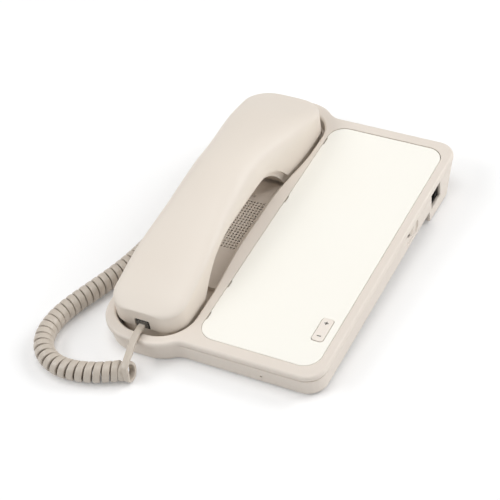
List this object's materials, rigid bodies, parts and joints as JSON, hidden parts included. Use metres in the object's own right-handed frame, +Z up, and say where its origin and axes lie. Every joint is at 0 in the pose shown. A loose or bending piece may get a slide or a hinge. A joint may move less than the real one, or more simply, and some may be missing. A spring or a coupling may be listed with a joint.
{
  "type": "corded desk telephone",
  "caption": "Low slab base with a blank faceplate, side cradle holding a long handset, hook plunger, rocker key, jacks and a curly cord.",
  "frame": {"origin": "centre of the footprint of the base and handset, on the table they stand on", "axes": "+X to the right as a user faces the telephone, +Y away from the user along the handset, +Z up"},
  "size_m": [0.1888, 0.2703, 0.0599],
  "materials": {
    "housing_plastic": "fine texture",
    "handset_plastic": "fine texture",
    "ivory_plastic": "smooth satin",
    "cord_plastic": "satin",
    "clear_plastic": "smooth",
    "black_plastic": "smooth",
    "board": "solder mask",
    "steel": "plated",
    "gold_wire": "plated",
    "soft_rubber": "matte"
  },
  "bodies": {
    "base": {"upper_housing": "housing_plastic", "lower_housing": "housing_plastic", "faceplate": "ivory_plastic", "volume_domes": "steel", "main_board": "board", "ringer_switch": "steel", "hook_spring": "steel", "hook_switch": "black_plastic", "hook_board": "board", "data_jack": "black_plastic", "data_jack_contacts": "gold_wire", "line_jack": "black_plastic", "line_jack_contacts": "gold_wire", "jack_board": "board", "base_cord_jack": "black_plastic", "base_cord_jack_contacts": "gold_wire", "loudspeaker": "black_plastic", "base_microphone": "steel", "microphone_sleeve": "soft_rubber", "ballast_plate": "steel", "rubber_feet": "soft_rubber", "housing_screws": "steel", "base_plug": "clear_plastic", "base_cord_end": "cord_plastic", "curly_cord": "cord_plastic", "handset_cord_end": "cord_plastic"},
    "handset": {"handset_top_shell": "handset_plastic", "handset_bottom_shell": "handset_plastic", "earpiece_receiver": "steel", "earpiece_ring": "soft_rubber", "handset_microphone": "steel", "handset_microphone_boot": "soft_rubber", "handset_weight": "steel", "handset_cord_jack": "black_plastic", "handset_cord_jack_contacts": "gold_wire", "handset_screws": "steel", "handset_plug": "clear_plastic"},
    "rocker": {"volume_rocker": "housing_plastic"},
    "ringer_slider": {"ringer_knob": "housing_plastic"},
    "plunger": {"hook_plunger": "housing_plastic"}
  },
  "joints": [
    {"name": "handset_lift", "type": "slide", "parent": "base", "child": "handset", "axis": [0, -0.0523, 0.9986], "range_m": [0, 0.06]},
    {"name": "plunger_rise", "type": "slide", "parent": "base", "child": "plunger", "axis": [0, -0.0523, 0.9986], "range_m": [0, 0.004]},
    {"name": "volume_rock", "type": "hinge", "parent": "base", "child": "rocker", "pos_m": [0.0617, -0.07086, 0.01629], "axis": [1, 0, 0], "range_deg": [-3, 3], "stiffness_Nm_per_rad": 0.08},
    {"name": "ringer_slide", "type": "slide", "parent": "base", "child": "ringer_slider", "axis": [0, 0.9986, 0.0523], "range_m": [-0.003, 0.003]}
  ],
  "couplings": [
    {"joint": "plunger_rise", "follows": "handset_lift", "ratio": 0.06666}
  ]
}
